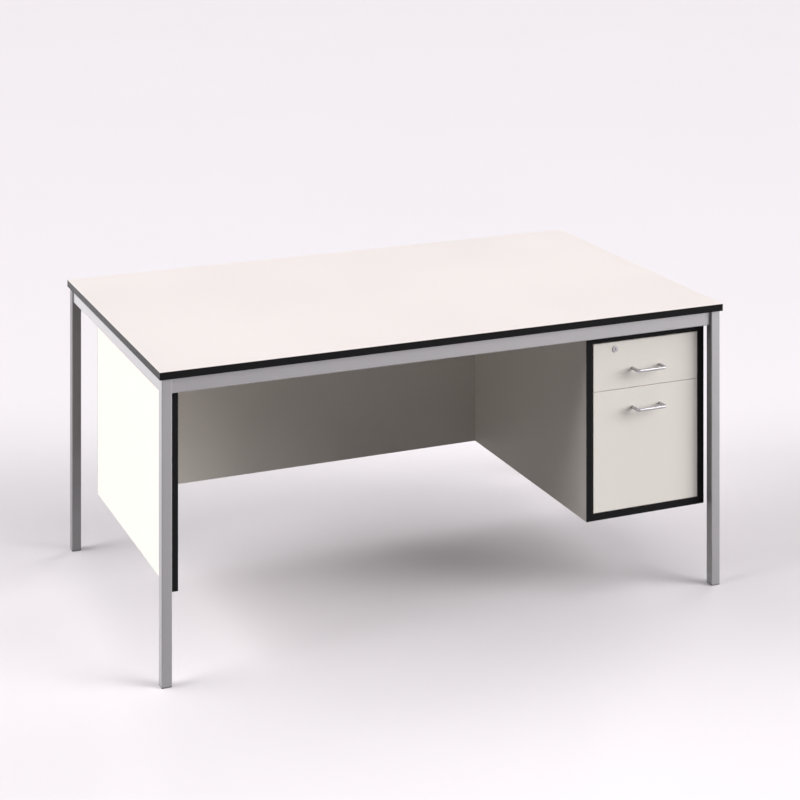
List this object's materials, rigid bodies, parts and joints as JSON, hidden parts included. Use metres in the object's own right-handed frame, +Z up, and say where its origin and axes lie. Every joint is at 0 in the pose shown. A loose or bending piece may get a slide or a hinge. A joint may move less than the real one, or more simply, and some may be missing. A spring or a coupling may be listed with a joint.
{
  "type": "teacher desk",
  "caption": "Rectangular desk with a white laminate top edged in black, a silver square-tube frame, end and modesty panels, and a hung pedestal with a shallow and a deep drawer.",
  "frame": {"origin": "on the floor, under the middle of the top", "axes": "+X right along the width and +Z up, for a person in front of the drawers; +Y away from that person"},
  "size_m": [1.5, 0.9, 0.725],
  "materials": {
    "worktop_laminate": "matt white high-pressure laminate",
    "melamine_board": "matt off-white melamine facing",
    "drawer_front_board": "matt off-white melamine facing",
    "black_edging": "satin black edging strip",
    "balancing_sheet": "matt balancing laminate",
    "chipboard": "raw particle board",
    "softwood": "planed beech and pine",
    "hardboard": "white-faced hardboard",
    "silver_frame": "satin silver powder coat",
    "glide_plastic": "black moulded plastic",
    "zinc_steel": "bright zinc plate",
    "cage_plastic": "natural moulded plastic and bright balls",
    "satin_nickel": "satin nickel"
  },
  "bodies": {
    "root": {"leg_front_left": "silver_frame", "leg_front_right": "silver_frame", "leg_rear_left": "silver_frame", "leg_rear_right": "silver_frame", "rail_front": "silver_frame", "top_edging_front": "black_edging", "rail_rear": "silver_frame", "top_edging_rear": "black_edging", "rail_left": "silver_frame", "top_edging_left": "black_edging", "rail_right": "silver_frame", "top_edging_right": "black_edging", "foot_glides": "glide_plastic", "top_fixing_lugs": "silver_frame", "top_core": "chipboard", "top_laminate": "worktop_laminate", "top_backing": "balancing_sheet", "end_panel": "melamine_board", "modesty_panel": "melamine_board", "panel_edging": "black_edging", "angle_brackets": "zinc_steel", "pan_head_screws": "zinc_steel", "pedestal_side_left": "melamine_board", "pedestal_side_right": "melamine_board", "pedestal_top_panel": "melamine_board", "pedestal_bottom_panel": "melamine_board", "pedestal_dowels": "softwood", "pedestal_packers": "softwood", "pedestal_fixing_screws": "zinc_steel", "runner_screws": "zinc_steel", "upper_runner_cabinet_members": "zinc_steel", "lower_runner_cabinet_members": "zinc_steel"},
    "lower_drawer": {"file_hanging_bars": "zinc_steel", "lower_runner_drawer_members": "zinc_steel", "lower_drawer_front": "drawer_front_board", "lower_drawer_inner_front": "melamine_board", "lower_drawer_side_left": "melamine_board", "lower_drawer_side_right": "melamine_board", "lower_drawer_back": "melamine_board", "lower_drawer_base": "hardboard", "lower_drawer_handle": "satin_nickel", "lower_drawer_screws": "zinc_steel"},
    "upper_runner_middle_members": {"upper_runner_middle_members": "zinc_steel"},
    "upper_drawer": {"upper_runner_drawer_members": "zinc_steel", "upper_drawer_front": "drawer_front_board", "upper_drawer_inner_front": "melamine_board", "upper_drawer_side_left": "melamine_board", "upper_drawer_side_right": "melamine_board", "upper_drawer_back": "melamine_board", "upper_drawer_base": "hardboard", "upper_drawer_handle": "satin_nickel", "upper_drawer_screws": "zinc_steel", "lock_housing": "satin_nickel"},
    "upper_runner_outer_ball_cages": {"upper_runner_outer_ball_cages": "cage_plastic"},
    "upper_runner_inner_ball_cages": {"upper_runner_inner_ball_cages": "cage_plastic"},
    "lower_runner_middle_members": {"lower_runner_middle_members": "zinc_steel"},
    "lower_runner_outer_ball_cages": {"lower_runner_outer_ball_cages": "cage_plastic"},
    "lower_runner_inner_ball_cages": {"lower_runner_inner_ball_cages": "cage_plastic"},
    "lock_barrel": {"lock_plug": "satin_nickel", "lock_cam": "satin_nickel"}
  },
  "joints": [
    {"name": "upper_drawer_slide", "type": "slide", "parent": "root", "child": "upper_drawer", "axis": [0, -1, 0], "range_m": [0, 0.48]},
    {"name": "upper_outer_ball_cages_slide", "type": "slide", "parent": "root", "child": "upper_runner_outer_ball_cages", "axis": [0, -1, 0], "range_m": [0, 0.12]},
    {"name": "upper_middle_members_slide", "type": "slide", "parent": "root", "child": "upper_runner_middle_members", "axis": [0, -1, 0], "range_m": [0, 0.24]},
    {"name": "upper_inner_ball_cages_slide", "type": "slide", "parent": "root", "child": "upper_runner_inner_ball_cages", "axis": [0, -1, 0], "range_m": [0, 0.36]},
    {"name": "lower_drawer_slide", "type": "slide", "parent": "root", "child": "lower_drawer", "axis": [0, -1, 0], "range_m": [0, 0.48]},
    {"name": "lower_outer_ball_cages_slide", "type": "slide", "parent": "root", "child": "lower_runner_outer_ball_cages", "axis": [0, -1, 0], "range_m": [0, 0.12]},
    {"name": "lower_middle_members_slide", "type": "slide", "parent": "root", "child": "lower_runner_middle_members", "axis": [0, -1, 0], "range_m": [0, 0.24]},
    {"name": "lower_inner_ball_cages_slide", "type": "slide", "parent": "root", "child": "lower_runner_inner_ball_cages", "axis": [0, -1, 0], "range_m": [0, 0.36]},
    {"name": "lock_turn", "type": "hinge", "parent": "upper_drawer", "child": "lock_barrel", "pos_m": [0.453, -0.405, 0.633], "axis": [0, -1, 0], "range_deg": [0, 90]}
  ],
  "couplings": [
    {"joint": "upper_outer_ball_cages_slide", "follows": "upper_drawer_slide", "ratio": 0.25},
    {"joint": "upper_middle_members_slide", "follows": "upper_drawer_slide", "ratio": 0.5},
    {"joint": "upper_inner_ball_cages_slide", "follows": "upper_drawer_slide", "ratio": 0.75},
    {"joint": "lower_outer_ball_cages_slide", "follows": "lower_drawer_slide", "ratio": 0.25},
    {"joint": "lower_middle_members_slide", "follows": "lower_drawer_slide", "ratio": 0.5},
    {"joint": "lower_inner_ball_cages_slide", "follows": "lower_drawer_slide", "ratio": 0.75}
  ]
}
